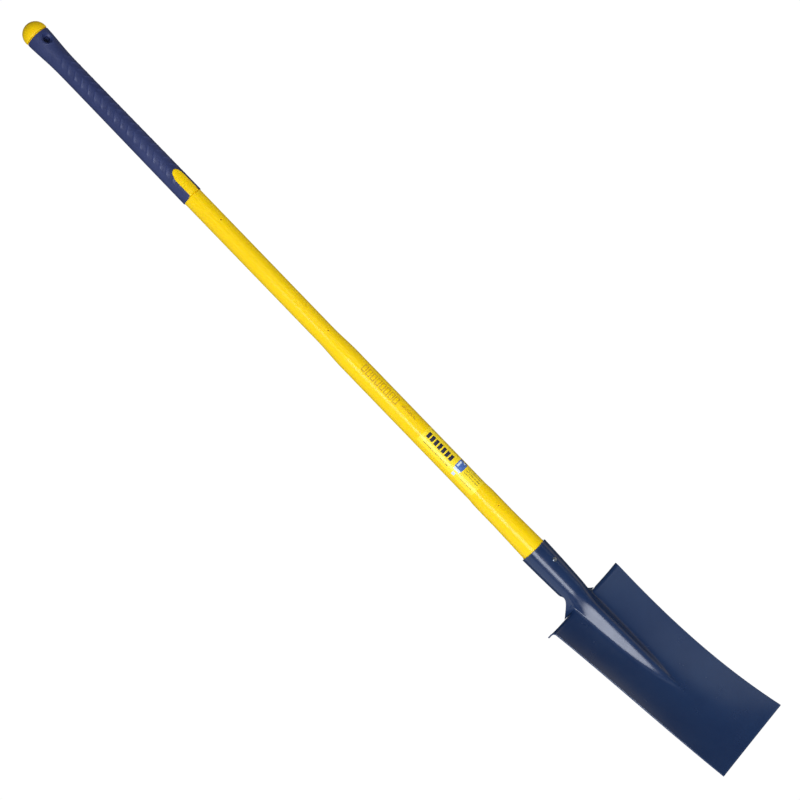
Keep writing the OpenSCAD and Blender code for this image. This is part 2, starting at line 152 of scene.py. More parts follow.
# Where the rib's outermost lane runs: at the treads, and from RIB_LANE_DROP down
RIB_LANE_W = (18.0, 10.0)
RIB_LANE_DROP = 300.0
BLADE_ROWS, BEND_ROWS, NECK_ROWS, TUBE_ROWS = 121, 23, 31, 21

SHAFT_R = 14.2
SWELL_R = 15.9
COLLAR_R = 16.75
SLEEVE_MOUTH_R = 18.1
FLARE_RISE = 58.0
COLLAR_RISE = 112.0
COLLAR_STEP = 16.0
SWELL_RISE = 358.0
SLIM_RISE = 405.0
SOCKET_GAP = 0.25
NOSE_ROUND = 5.0
NOSE_SOLID = 9.0
UNDER_GRIP_R = 11.8
CORE_BORE_R = 10.05
PARTING_HEIGHT, PARTING_HALF_W = 0.1, 0.35

GRIP_BORE_R = 11.85
GRIP_END_R = 15.4
GRIP_WAIST_R = 14.7
GRIP_TOP_R = 17.6
GRIP_FLARE_LEN = 75.0
GRIP_CORNER = 1.2
TONGUE_LEN = 43.0
TONGUE_HALF_W = 8.6
TONGUE_GAP = 0.12
TONGUE_SINK = 0.1
TONGUE_CORNER = 3.5
TONGUE_TIP_RATIO = 1.7
HANG_R = 4.75
HANG_MOUTH_R = 8.4
HANG_MOUTH_DEPTH = 4.8
LINER_T = 1.1
# Longer than the grip is wide, so that a cutter goes right through
CUTTER_LEN = 60

DOME_R = 18.0
SPIGOT_R = 10.0
SPIGOT_CHAMFER = 0.8
# The groove between grip and cap: half its width, and its depth
CAP_GROOVE = 0.75
CAP_GROOVE_DEPTH = 2.2

CHEVRON_PITCH = 12.7
CHEVRON_LOW, CHEVRON_HIGH = GRIP_RISE + 27, CAP_RISE - 48
CHEVRON_LEAN = 0.75
CHEVRON_HEIGHT = 0.65
CHEVRON_FADE = 6
# Widths of a ridge's steep upper side and its gentle lower side
CHEVRON_SIDES = (0.9, 1.9)
# Turns, in degrees, over which the arms rise beside the middle and end at the sides
CHEVRON_RISES, CHEVRON_ENDS = (4, 12), (46, 58)

RIVET_DROP = 27.8
RIVET_TURN = math.radians(6)
RIVET_HEAD_R, RIVET_HEAD_H = 3.4, 1.35
RIVET_PIN_R, RIVET_INNER_END = 2.0, 6.0
RIVET_DIMPLE = 0.35

# Marks that the moulding pins left in the shaft's front
PIN_MARK_RISES = (614.0, 406.0, 77.0)
PIN_MARK_R = 1.3
PIN_MARK_DEPTH = 1.3


def ease(a, b, x):
    """Smooth step from 0 to 1 while x goes from a to b."""
    q = np.clip((np.asarray(x, float) - a) / (b - a), 0, 1)
    return q * q * (3 - 2 * q)


def mix(a, b, q):
    return a + (b - a) * q


def soft_max(a, b, k):
    """The larger of two heights, with a rounding of size k where they cross."""
    return (a + b + np.sqrt((a - b) ** 2 + k * k)) / 2


def bell(x, width):
    """1 at x = 0, falling away on both sides within about the given width."""
    return np.exp(-((x / width) ** 2))


def half_turn(angles):
    """The same angles, brought into the range from minus half a turn to half a turn."""
    return (angles + math.pi) % (2 * math.pi) - math.pi


def unit(v):
    return v / np.linalg.norm(v, axis=-1, keepdims=True)


def placed(points):
    """Points given as (across, forward, drop) in millimetres, in metres in the frame."""
    points = np.asarray(points, float)
    x, y, z = points[..., 0], -points[..., 1], -points[..., 2]
    return np.stack([x * MM, y * MM, MOUTH_Z + z * MM], axis=-1)


# ---- The pressed head's front surface ----


def blade_share(drop):
    """0 level with the treads and 1 at the ends of the cutting edge; called u below."""
    return (drop - TREAD_DROP) / (CUT_DROP - TREAD_DROP)


def socket_r(drop):
    q = drop / TREAD_DROP
    return mix(SOCKET_MOUTH_R, NECK_R, (q + q * q) / 2)


def half_w(u):
    return WAIST_W / 2 + WAIST_FLARE * (u - WAIST_AT) ** 2


def hollow(x, u):
    upper = mix(DISH_TOP, DISH_MID, ease(*DISH_DEEPENS, u))
    dish = mix(upper, DISH_CUT, np.maximum(u, 0) ** CURL_POWER)
    return dish * (1 - (x / half_w(u)) ** 2)


def wing_forward(x, u):
    edge = EDGE_START + EDGE_LEAN * u + EDGE_CURL * np.maximum(u, 0) ** CURL_POWER
    return edge - hollow(x, u)


def rib_forward(x, drop):
    """The rib is half a tube at the neck and a rounded roof further down."""
    r = socket_r(drop)
    tube = np.where(x < r, np.sqrt(np.maximum(r * r - x * x, 0)), 2 * (r - x))
    rise = np.hypot(x, RIDGE_ROUND) - RIDGE_ROUND
    roof = RIDGE_START + RIDGE_CLIMB * (drop - TREAD_DROP) - RIB_SLOPE * rise
    return mix(tube, roof, ease(HALF_OPEN_DROP, ROOF_DROP, drop))


def front_forward(x, drop):
    k = VALLEY_ROUND * ease(HALF_OPEN_DROP, TREAD_DROP, drop)
    return soft_max(rib_forward(x, drop), wing_forward(x, blade_share(drop)), k)


def lane_x(lane, drop):
    """Distance of a lane from the middle: even angles on the tube, even steps on the blade."""
    rib_x = mix(RIB_LANE_W[0], RIB_LANE_W[1], ease(TREAD_DROP, RIB_LANE_DROP, drop))
    on_tube = socket_r(drop) * np.sin(math.pi / 2 * lane / NECK_LANES)
    on_rib = mix(on_tube, rib_x * lane / RIB_LANES, ease(HALF_OPEN_DROP, TREAD_DROP, drop))
    beside = mix(rib_x, TREAD_INNER, (lane - RIB_LANES) / (NECK_LANES - RIB_LANES))
    q = (lane - NECK_LANES) / (ALL_LANES - NECK_LANES)
    outer = mix(TREAD_INNER, half_w(blade_share(drop)), q)
    return np.where(lane <= RIB_LANES, on_rib, np.where(lane <= NECK_LANES, beside, outer))


def tread_share(lane):
    """0 where the treads begin at the neck, and 1 at the blade's outer edges."""
    return np.clip((np.abs(lane) - NECK_LANES) / (ALL_LANES - NECK_LANES), 0, 1)


def tube_point(lane, drop):
    wrap = mix(math.pi - SEAM_HALF_ANGLE, math.pi / 2, ease(SEAM_OPEN_DROP, HALF_OPEN_DROP, drop))
    a = wrap * lane / NECK_LANES
    return np.stack([socket_r(drop) * np.sin(a), socket_r(drop) * np.cos(a), drop], axis=-1)


def blade_point(lane, drop):
    """A point of the blade; its upper rows bow upwards towards the blade's outer edges."""
    n = np.abs(lane)
    lifted = TREAD_BOW * tread_share(lane) ** 2 * (1 - ease(BEND_DROP, BEND_DROP + BOW_LEN, drop))
    drop = drop - lifted
    x = lane_x(n, drop)
    u = blade_share(drop)
    dip = CUT_BOW * np.maximum(u, 0) ** CUT_BOW_POWER * hollow(x, u)
    return np.stack([np.sign(lane) * x, front_forward(x, drop), drop + dip], axis=-1)


def turned_normal(down, across):
    return unit(np.cross(down, across))


def blade_normal(lane, drop):
    d = 0.05
    down = blade_point(lane, drop + d) - blade_point(lane, drop - d)
    return turned_normal(down, blade_point(lane + d, drop) - blade_point(lane - d, drop))


def way_up(n):
    """The direction up the sheet, towards the socket, where the sheet faces n."""
    return unit(np.cross(n, np.cross(n, [0.0, 0.0, 1.0])))


def bend_turn(g):
    """How far the sheet has turned over: 0 on the blade, a quarter turn behind the bend."""
    return math.pi / 2 * np.minimum(1, g / BEND_SHARE)


def tread_point(lane, g):
    """A tread's front: g goes from 0 on the blade, round the bend, to 1 at its rear edge."""
    share = tread_share(lane)
    turn = bend_turn(g)
    depth = mix(TREAD_DEPTH[0], TREAD_DEPTH[1], share)
    flat = np.maximum(0, (g - BEND_SHARE) / (1 - BEND_SHARE))
    back = TREAD_BEND * (1 - np.cos(turn)) + (depth - TREAD_BEND) * flat
    drop = np.full(np.shape(lane), BEND_DROP)
    n = blade_normal(lane, drop)
    fan = np.sign(lane) * TREAD_FAN * share * back
    side = np.stack([fan, np.zeros_like(fan), np.zeros_like(fan)], axis=-1)
    rise = (TREAD_BEND * np.sin(turn))[..., None]
    return blade_point(lane, drop) + side + rise * way_up(n) - back[..., None] * n


def rear_edge(p):
    """The sheet's rear edge beside the neck, from a tread's inner corner up to the open tube."""
    corner = tread_point(np.array(float(NECK_LANES)), np.array(1.0))
    r = socket_r(HALF_OPEN_DROP)
    x = r + (corner[0] - r) * (1 - p) ** LEG_SWEEP
    forward = corner[1] * (1 - ease(LEG_START, 1, p))
    return np.stack([x, forward, mix(corner[2], HALF_OPEN_DROP, p)], axis=-1)


def neck_point(lane, g):
    """The neck: g is 0 on the blade, 1 level with the treads and 2 where the tube opens."""
    lane, g = np.broadcast_arrays(np.asarray(lane, float), np.asarray(g, float))
    n = np.abs(lane)
    level = TREAD_DROP - 1
    inner_drop = np.where(g < 1, mix(BEND_DROP, level, g), mix(level, HALF_OPEN_DROP, g - 1))
    rib = blade_point(np.minimum(n, RIB_LANES), inner_drop)
    q = np.clip((n - RIB_LANES) / (NECK_LANES - RIB_LANES), 0, 1)[..., None]
    spread = np.concatenate([q ** LEG_SPREAD, q, q], axis=-1)

    def leg(g, drop):
        last = np.full(g.shape, float(NECK_LANES))
        outer = np.where((g < 1)[..., None], tread_point(last, np.minimum(g, 1)), rear_edge(g - 1))
        return mix(blade_point(np.full(g.shape, float(RIB_LANES)), drop), outer, spread)

    start = np.zeros(g.shape)
    at_blade = blade_point(n, np.full(g.shape, BEND_DROP)) - leg(start, np.full(g.shape, BEND_DROP))
    legs = leg(g, inner_drop) + at_blade * (1 - ease(0, 1, g))[..., None]
    opened = tube_point(n, np.full(g.shape, HALF_OPEN_DROP)) - leg(start + 2, start + HALF_OPEN_DROP)
    legs = legs + opened * ease(1.5, 2, g)[..., None]
    spot = np.where((n <= RIB_LANES)[..., None], rib, legs)
    return spot * np.stack([np.where(lane < 0, -1.0, 1.0), start + 1, start + 1], axis=-1)


def neck_normal(lane, g):
    d = 0.02
    down = neck_point(lane, np.maximum(g - d, 0)) - neck_point(lane, np.minimum(g + d, 2))
    across = neck_point(np.minimum(lane + d, NECK_LANES), g)
    across = across - neck_point(np.maximum(lane - d, -NECK_LANES), g)
    return turned_normal(down, across)


def tread_normal(lane, g):
    turn = bend_turn(g)[..., None]
    n = blade_normal(lane, np.full(np.shape(lane), BEND_DROP))
    return np.cos(turn) * n + np.sin(turn) * way_up(n)


def tube_normal(lane, drop):
    d = 0.05
    down = tube_point(lane, drop + d) - tube_point(lane, np.maximum(drop - d, 0))
    return turned_normal(down, tube_point(lane + d, drop) - tube_point(lane - d, drop))


# ---- Mesh helpers ----


def make_object(name, verts, faces, smooth_angle=40):
    mesh = bpy.data.meshes.new(name)
    mesh.from_pydata([tuple(map(float, v)) for v in verts], [], [tuple(map(int, f)) for f in faces])
    mesh.validate()
    piece = bpy.data.objects.new(name, mesh)
    smooth_by_angle(piece, smooth_angle)
    bpy.context.scene.collection.objects.link(piece)
    return piece


def smooth_by_angle(piece, degrees):
    piece.data.polygons.foreach_set("use_smooth", [True] * len(piece.data.polygons))
    piece.data.set_sharp_from_angle(angle=math.radians(degrees))


def edit_mesh(piece, step):
    bm = bmesh.new()
    bm.from_mesh(piece.data)
    step(bm)
    bm.to_mesh(piece.data)
    bm.free()


def face_outwards(piece):
    """Turns every face of a closed mesh to the outside."""
    edit_mesh(piece, lambda bm: bmesh.ops.recalc_face_normals(bm, faces=bm.faces))


def weld(piece, reach=1e-6):
    """Joins points that are closer together than reach, in metres."""
    edit_mesh(piece, lambda bm: bmesh.ops.remove_doubles(bm, verts=bm.verts, dist=reach))


def turned_faces(rings, steps):
    """Faces between each ring of points and the next; a ring may be a single point."""
    faces = []
    for low, high in zip(rings, rings[1:]):
        for i in range(steps):
            j = (i + 1) % steps
            ring = [low[i % len(low)], low[j % len(low)], high[j % len(high)], high[i % len(high)]]
            faces.append(list(dict.fromkeys(ring)))
    return faces


def prism(name, outline, ends):
    """A solid with the same outline of (across, drop) at two places forward."""
    count = len(outline)
    verts = [(x, forward, drop) for forward in ends for x, drop in outline]
    faces = [list(range(count)), list(range(2 * count - 1, count - 1, -1))]
    faces += [[i, i + count, (i + 1) % count + count, (i + 1) % count] for i in range(count)]
    piece = make_object(name, placed(verts), faces)
    face_outwards(piece)
    return piece


def lathe(name, profile, steps=128, shift=None, smooth_angle=30):
    """A closed solid turned from (radius, rise) points; shift(angle, rise, radius) moves its skin."""
    rings = []
    angles = np.arange(steps) * 2 * math.pi / steps
    verts = []
    for r, rise in profile:
        if r < 1e-6:
            rings.append([len(verts)])
            verts.append((0, 0, -rise))
            continue
        radius = np.full(steps, float(r))
        if shift:
            radius = radius + shift(angles, rise, r)
        rings.append(list(range(len(verts), len(verts) + steps)))
        verts += [(q * math.sin(a), q * math.cos(a), -rise) for a, q in zip(angles, radius)]
    faces = turned_faces(rings, steps)
    closes_on_itself = profile[0] == profile[-1]
    if not closes_on_itself:
        faces += [end for end in (rings[0][::-1], rings[-1]) if len(end) > 1]
    piece = make_object(name, placed(verts), [f for f in faces if len(f) > 2], smooth_angle)
    if closes_on_itself:
        weld(piece)
    face_outwards(piece)
    return piece


def cut(piece, cutter):
    """Cuts cutter out of piece, and removes cutter."""
    step = piece.modifiers.new("cut", "BOOLEAN")
    step.operation, step.object, step.solver = "DIFFERENCE", cutter, "EXACT"
    apply_modifiers(piece)
    bpy.data.objects.remove(cutter)


def apply_modifiers(piece):
    """Makes the result of a piece's modifiers its own mesh."""
    graph = bpy.context.evaluated_depsgraph_get()
    done = bpy.data.meshes.new_from_object(piece.evaluated_get(graph))
    piece.modifiers.clear()
    piece.data = done


def settle(piece, material, slot, *nodes):
    """Gives a piece its material and its place in the frame; its slot is not used."""
    piece.data.materials.clear()
    piece.data.materials.append(material)
    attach(piece, ROOT)
    if nodes:
        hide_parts(*nodes)
    return piece


# ---- Materials ----


def linear(*srgb):
    """A colour given as 0 to 255 screen values, as the shader wants it."""
    parts = [c / 255 for c in srgb]
    return [p / 12.92 if p <= 0.04045 else ((p + 0.055) / 1.055) ** 2.4 for p in parts] + [1.0]


class Shader:
    """A procedural material around one Principled shader."""

    def __init__(self, name, roughness, metallic=0.0, ior=1.5):
        self.material = bpy.data.materials.new(name)
        self.material.use_nodes = True
        self.tree = self.material.node_tree
        self.shader = self.tree.nodes["Principled BSDF"]
        self.shader.inputs["Roughness"].default_value = roughness
        self.shader.inputs["Metallic"].default_value = metallic
        self.shader.inputs["IOR"].default_value = ior
        self.where = self.add("ShaderNodeTexCoord").outputs["Object"]

    def add(self, kind, **settings):
        node = self.tree.nodes.new(kind)
        for key, value in settings.items():
            setattr(node, key, value)
        return node

    def link(self, source, target):
        self.tree.links.new(source, target)

    def stretched(self, x, y, z):
        mapping = self.add("ShaderNodeMapping")
        mapping.inputs["Scale"].default_value = (x, y, z)
        self.link(self.where, mapping.inputs["Vector"])
        return mapping.outputs["Vector"]

    def noise(self, size_mm, detail=3, rough=0.55, where=None):
        """Noise whose cells are about size_mm across."""
        node = self.add("ShaderNodeTexNoise")
        node.inputs["Scale"].default_value = 1000 / size_mm
        node.inputs["Detail"].default_value = detail
        node.inputs["Roughness"].default_value = rough
        self.link(where or self.where, node.inputs["Vector"])
        return node.outputs["Fac"]

    def remap(self, value, low, high, to_low, to_high):
        node = self.add("ShaderNodeMapRange")
        node.inputs["From Min"].default_value = low
        node.inputs["From Max"].default_value = high
        node.inputs["To Min"].default_value = to_low
        node.inputs["To Max"].default_value = to_high
        self.link(value, node.inputs["Value"])
        return node.outputs["Result"]

    def blend(self, share, first, second):
        """One colour turning into another; each is a colour or another node's output."""
        node = self.add("ShaderNodeMix", data_type="RGBA")
        self.link(share, node.inputs["Factor"])
        colour_a, colour_b, result = node.inputs[6], node.inputs[7], node.outputs[2]
        for socket, colour in ((colour_a, first), (colour_b, second)):
            if isinstance(colour, list):
                socket.default_value = colour
            else:
                self.link(colour, socket)
        return result

    def attribute(self, name):
        return self.add("ShaderNodeAttribute", attribute_name=name).outputs["Fac"]

    def colour(self, source):
        self.link(source, self.shader.inputs["Base Color"])

    def roughness(self, source):
        self.link(source, self.shader.inputs["Roughness"])

    def bump(self, *heights):
        """Each height is (output, depth in millimetres)."""
        normal = None
        for source, depth in heights:
            node = self.add("ShaderNodeBump")
            node.inputs["Strength"].default_value = 1.0
            node.inputs["Distance"].default_value = depth * MM
            self.link(source, node.inputs["Height"])
            if normal:
                self.link(normal, node.inputs["Normal"])
            normal = node.outputs["Normal"]
        self.link(normal, self.shader.inputs["Normal"])


def enamel():
    """Navy gloss enamel with a faint orange peel, a cloudy tone, and a paler rim that is a painted
    highlight on the rounded edges.
    """
    s = Shader("navy_enamel", 0.3)
    cloud = s.remap(s.noise(70, 4), 0.35, 0.65, 0, 1)
    mottle = s.remap(s.noise(9, 3), 0.4, 0.7, 0, 1)
    tone = s.blend(cloud, linear(21, 41, 76), linear(25, 46, 81))
    tone = s.blend(s.remap(mottle, 0, 1, 0, 0.25), tone, linear(28, 44, 78))
    # Painted highlight: the rim's points are blended towards a paler blue, standing in for light caught by
    # the rounded edges.
    s.colour(s.blend(s.remap(s.attribute("rim"), 0, 1, 0, 0.3), tone, linear(60, 80, 112)))
    s.roughness(s.remap(s.noise(22, 5), 0.3, 0.7, 0.22, 0.28))
    s.bump((s.noise(5, 2), 0.006), (s.noise(0.6, 2), 0.0008), (s.noise(45, 2), 0.03))
    return s.material


def yellow_plastic(name, bright, deep, roughness):
    """Moulded yellow plastic with flow lines along the shaft, fine scuffs and a soft gloss."""
    s = Shader(name, roughness, ior=1.3)
    flow = s.noise(30, 4, where=s.stretched(1, 1, 0.12))
    tone = s.blend(s.remap(flow, 0.35, 0.68, 0, 1), bright, deep)
    specks = s.remap(s.noise(1.4, 2), 0.72, 0.8, 0, 0.25)
    s.colour(s.blend(specks, tone, linear(214, 160, 20)))
    scuff = s.noise(3, 5, 0.7, where=s.stretched(1, 1, 0.08))
    s.roughness(s.remap(scuff, 0.35, 0.7, roughness - 0.05, roughness + 0.12))
    s.bump((s.noise(12, 3, where=s.stretched(1, 1, 0.1)), 0.006), (s.noise(0.7, 2), 0.0008))
    s.shader.inputs["Subsurface Weight"].default_value = 0.08
    s.shader.inputs["Subsurface Radius"].default_value = (1.0, 0.6, 0.15)
    s.shader.inputs["Subsurface Scale"].default_value = 0.002
    return s.material


def rubber():
    """Indigo grip rubber: matt and finely grained, with its ridges painted paler as a highlight."""
    s = Shader("indigo_rubber", 0.5)
    cloud = s.remap(s.noise(26, 4), 0.35, 0.65, 0, 1)
    tone = s.blend(cloud, linear(37, 47, 91), linear(44, 54, 98))
    # Painted highlight: the chevron ridges are blended towards a paler indigo, standing in for light on
    # their crests.
    s.colour(s.blend(s.remap(s.attribute("ridge"), 0, 1, 0, 0.4), tone, linear(62, 72, 116)))
    s.roughness(s.remap(s.noise(6, 4), 0.3, 0.7, 0.4, 0.55))
    s.bump((s.noise(0.45, 2, 0.6), 0.03), (s.noise(3, 3), 0.02))
    return s.material


def bare_steel():
    """Zinc-bright steel with fine turned scratches."""
    s = Shader("rivet_steel", 0.3, metallic=1.0)
    tone = s.remap(s.noise(1.2, 4), 0.3, 0.7, 0, 1)
    s.colour(s.blend(tone, linear(196, 200, 206), linear(160, 166, 176)))
    s.roughness(s.remap(s.noise(0.6, 4), 0.3, 0.7, 0.22, 0.4))
    s.bump((s.noise(0.3, 3), 0.006),)
    return s.material


def glass_fibre():
    """Pale resin with glass rovings that run along the tube."""
    s = Shader("glass_fibre", 0.45)
    roving = s.noise(1.2, 4, where=s.stretched(1, 1, 0.02))
    share = s.remap(roving, 0.35, 0.65, 0, 1)
    s.colour(s.blend(share, linear(206, 198, 160), linear(168, 156, 112)))
    s.roughness(s.remap(roving, 0.3, 0.7, 0.35, 0.55))
    s.bump((roving, 0.05),)
    return s.material


def dark_plastic():
    """Charcoal moulded plastic, matt and a little uneven."""
    s = Shader("plug_plastic", 0.6)
    share = s.remap(s.noise(5, 4), 0.3, 0.7, 0, 1)
    s.colour(s.blend(share, linear(40, 40, 42), linear(58, 58, 60)))
    s.roughness(s.remap(s.noise(2, 3), 0.3, 0.7, 0.5, 0.7))
    s.bump((s.noise(0.5, 2), 0.02),)
    return s.material


def printed(name, colour, worn, roughness=0.32):
    """Print on a film, with slightly worn and uneven ink."""
    s = Shader(name, roughness)
    grain = s.remap(s.noise(0.8, 4, 0.7), 0.5, 0.75, 0, 0.5)
    s.colour(s.blend(grain, colour, worn))
    s.roughness(s.remap(s.noise(4, 3), 0.3, 0.7, roughness - 0.06, roughness + 0.1))
    s.bump((s.noise(1.5, 2), 0.004),)
    return s.material


# ---- The pressed head ----


def head_rows(lanes, narrow):
    """Rows of (lanes, points, normals) up the sheet, and the number of the last one of full width."""
    rows = []
    for drop in np.linspace(CUT_DROP, BEND_DROP, BLADE_ROWS)[:-1]:
        drops = np.full(lanes.shape, drop)
        rows.append((lanes, blade_point(lanes, drops), blade_normal(lanes, drops)))
    inner = (np.abs(lanes) <= NECK_LANES)[:, None]
    near = np.clip(lanes, -NECK_LANES, NECK_LANES)
    for g in np.linspace(0, 1, BEND_ROWS):
        gs = np.full(lanes.shape, g)
        points = np.where(inner, neck_point(near, gs), tread_point(lanes, gs))
        turns = np.where(inner, neck_normal(near, gs), tread_normal(lanes, gs))
        rows.append((lanes, points, turns))
    last_wide = len(rows) - 1
    for g in np.linspace(1, 2, NECK_ROWS)[1:-1]:
        gs = np.full(narrow.shape, g)
        rows.append((narrow, neck_point(narrow, gs), neck_normal(narrow, gs)))
    closing = np.linspace(HALF_OPEN_DROP, SEAM_OPEN_DROP, TUBE_ROWS)
    closed = np.linspace(SEAM_OPEN_DROP, 0, TUBE_ROWS)[1:]
    for drop in [*closing, *closed]:
        drops = np.full(narrow.shape, drop)
        rows.append((narrow, tube_point(narrow, drops), tube_normal(narrow, drops)))
    return rows, last_wide


def head_mesh():
    """Points, normals and cells of the sheet's front, and the loop around its rim."""
    lanes = np.arange(-ALL_LANES * LANE_STEPS, ALL_LANES * LANE_STEPS + 1) / LANE_STEPS
    narrow = lanes[np.abs(lanes) <= NECK_LANES]
    rows, last_wide = head_rows(lanes, narrow)
    number, spots, normals = {}, [], []
    for row, (here, points, turns) in enumerate(rows):
        for lane, p, n in zip(here, points, turns):
            number[row, lane] = len(spots)
            spots.append(p)
            normals.append(n)
    cells = []
    for row in range(len(rows) - 1):
        here = lanes if row < last_wide else narrow
        for a, b in zip(here, here[1:]):
            ring = (row, a), (row + 1, a), (row + 1, b), (row, b)
            cells.append([number[key] for key in ring])
    top = len(rows) - 1
    rim = [number[0, lane] for lane in lanes]
    rim += [number[row, ALL_LANES] for row in range(1, last_wide + 1)]
    rim += [number[last_wide, lane] for lane in lanes[lanes >= NECK_LANES][-2::-1]]
    rim += [number[row, NECK_LANES] for row in range(last_wide + 1, top + 1)]
    rim += [number[top, lane] for lane in narrow[-2::-1]]
    rim += [number[row, -NECK_LANES] for row in range(top - 1, last_wide - 1, -1)]
    rim += [number[last_wide, lane] for lane in lanes[lanes < -NECK_LANES][::-1]]
    rim += [number[row, -ALL_LANES] for row in range(last_wide - 1, 0, -1)]
    return np.array(spots), np.array(normals), cells, rim


def rim_ways(spots, normals, rim):
    """At each point of the rim, the way out of the sheet within its own surface."""
    loop = np.array(rim)
    along = unit(np.roll(spots[loop], -1, axis=0) - np.roll(spots[loop], 1, axis=0))
    return unit(np.cross(along, normals[loop]))


def spade_head():
    """The pressed sheet: a front, a back one thickness behind it and a rounded rim."""
    spots, normals, cells, rim = head_mesh()
    count = len(spots)
    backs = spots - SHEET * normals
    verts = [*spots, *backs]
    faces = [*cells, *[[i + count for i in reversed(cell)] for cell in cells]]
    out = rim_ways(spots, normals, rim)
    strips = [rim]
    for share, reach in RIM_ROUNDING:
        strips.append(list(range(len(verts), len(verts) + len(rim))))
        verts += list(mix(spots[rim], backs[rim], share) + reach * out)
    strips.append([i + count for i in rim])
    for near, far in zip(strips, strips[1:]):
        for i in range(len(rim)):
            j = (i + 1) % len(rim)
            faces.append([near[i], far[i], far[j], near[j]])
    piece = make_object("head_pressing", placed(verts), faces, 50)
    face_outwards(piece)
    on_rim = set(rim) | {i + count for i in rim} | set(range(2 * count, len(verts)))
    # The rim mask, which the enamel paints paler as an edge highlight
    mark = piece.data.attributes.new("rim", "FLOAT", "POINT")
    mark.data.foreach_set("value", [float(i in on_rim) for i in range(len(verts))])
    return settle(piece, enamel(), "head_paint", "spade_head")


# ---- The sleeve ----


def nose_r(drop):
    """The nose's radius, which keeps clear of the socket's inside."""
    return min(SLEEVE_MOUTH_R, float(socket_r(drop)) - SHEET - SOCKET_GAP)


def sleeve_r(rise):
    """A flare at the socket's mouth, a collar, and a shaft that is slimmer further up."""
    if rise < 0:
        return nose_r(-rise)
    if rise < FLARE_RISE:
        return mix(SLEEVE_MOUTH_R, COLLAR_R, rise / FLARE_RISE)
    if rise < COLLAR_RISE:
        return float(mix(COLLAR_R, SWELL_R, ease(COLLAR_RISE - COLLAR_STEP, COLLAR_RISE, rise)))
    return float(mix(SWELL_R, SHAFT_R, ease(SWELL_RISE, SLIM_RISE, rise)))


def sleeve_rises():
    """Rises of the sleeve's rings, closer together where its outline or a pit needs them."""
    plain = np.concatenate([
        np.linspace(-NOSE_DROP + NOSE_ROUND, 0, 24),
        np.linspace(0, COLLAR_RISE - COLLAR_STEP, 24),
        np.linspace(COLLAR_RISE - COLLAR_STEP, COLLAR_RISE, 16),
        np.linspace(COLLAR_RISE, SWELL_RISE, 50),
        np.linspace(SWELL_RISE, SLIM_RISE, 28),
        np.linspace(SLIM_RISE, GRIP_RISE - TOUCH_GAP, 52),
    ])
    pits = [rise + np.linspace(-3, 3, 25) for rise in PIN_MARK_RISES]
    return np.unique(np.round(np.concatenate([plain, *pits]), 3))


def sleeve_skin(angles, rise, r):
    """Mould parting lines along both sides, and the pits that the moulding pins left."""
    move = np.zeros_like(angles)
    for side in (-1, 1):
        off = half_turn(angles - side * math.pi / 2)
        move += PARTING_HEIGHT * bell(off * r, PARTING_HALF_W)
    turn = half_turn(angles)
    for pin in PIN_MARK_RISES:
        d = np.hypot(turn * r, rise - pin)
        move -= PIN_MARK_DEPTH * (1 - ease(PIN_MARK_R - 0.5, PIN_MARK_R + 0.25, d))
        raised_lip = 0.12 * bell(d - PIN_MARK_R - 0.6, 0.4)
        move += raised_lip
    return move


def sleeve_profile():
    """Up the outside from the rounded nose, and back down the core's bore."""
    nose = []
    end_r = nose_r(NOSE_DROP) - NOSE_ROUND
    for a in np.linspace(0, math.pi / 2, 9)[:-1]:
        nose.append((end_r + NOSE_ROUND * math.sin(a), NOSE_ROUND * (1 - math.cos(a)) - NOSE_DROP))
    bore_end = -(NOSE_DROP - NOSE_SOLID)
    skin = [(sleeve_r(z), z) for z in sleeve_rises()]
    return [
        (0.0, -NOSE_DROP), *nose, *skin,
        (UNDER_GRIP_R, GRIP_RISE - TOUCH_GAP), (UNDER_GRIP_R, SLEEVE_TOP_RISE),
        (CORE_BORE_R, SLEEVE_TOP_RISE), (CORE_BORE_R, bore_end), (0.0, bore_end),
    ]


def tongue_w(z, w, length):
    """Half-width of the tongue at a height above the grip's lower end."""
    tip_len, corner = TONGUE_TIP_RATIO * w, TONGUE_CORNER
    q = np.maximum(0, (z - length + tip_len) / tip_len)
    c = np.maximum(0, corner - z)
    return w * np.sqrt(np.maximum(0, 1 - q * q)) + corner - np.sqrt(corner * corner - c * c)


def tongue_rim(w, length, count=60):
    """Outline of the tongue as (across, height), from its lower right corner over its tip."""
    z = length * np.sin(np.linspace(0, math.pi / 2, count))
    x = tongue_w(z, w, length)
    return np.concatenate([np.stack([x, z], 1), np.stack([-x, z], 1)[-2::-1]])


def tongue():
    """The raised yellow tongue that shows through the grip's window: rings shrink inwards."""
    rim = tongue_rim(TONGUE_HALF_W - TONGUE_GAP, TONGUE_LEN - TONGUE_GAP)
    spine = np.stack([np.zeros(len(rim)), np.clip(rim[:, 1], 2, TONGUE_LEN - 12)], 1)
    shares = (0, 0, 0.012, 0.035, 0.07, 0.12, 0.22, 0.4, 0.6, 0.8, 1)
    drops = (3.0, 0.75, 0.42, 0.2, 0.07, 0, 0, 0, 0, 0, 0)
    verts, rings = [], []
    for share, lower in zip(shares, drops):
        flat = mix(rim, spine, share)
        top_r = GRIP_END_R - TONGUE_SINK - lower
        rings.append(range(len(verts), len(verts) + len(rim)))
        for x, z in flat:
            r = mix(SHAFT_R + 0.02 - lower, top_r, float(ease(0, 10, z)))
            verts.append((x, math.sqrt(max(r * r - x * x, 0)), -(GRIP_RISE - TOUCH_GAP + z)))
    faces = []
    for near, far in zip(rings, rings[1:]):
        for i in range(len(rim)):
            j = (i + 1) % len(rim)
            faces.append([near[i], near[j], far[j], far[i]])
    faces.append(list(rings[0])[::-1])
    piece = make_object("tongue", placed(verts), faces, 60)
    weld(piece, 1e-5)
    face_outwards(piece)
    return piece


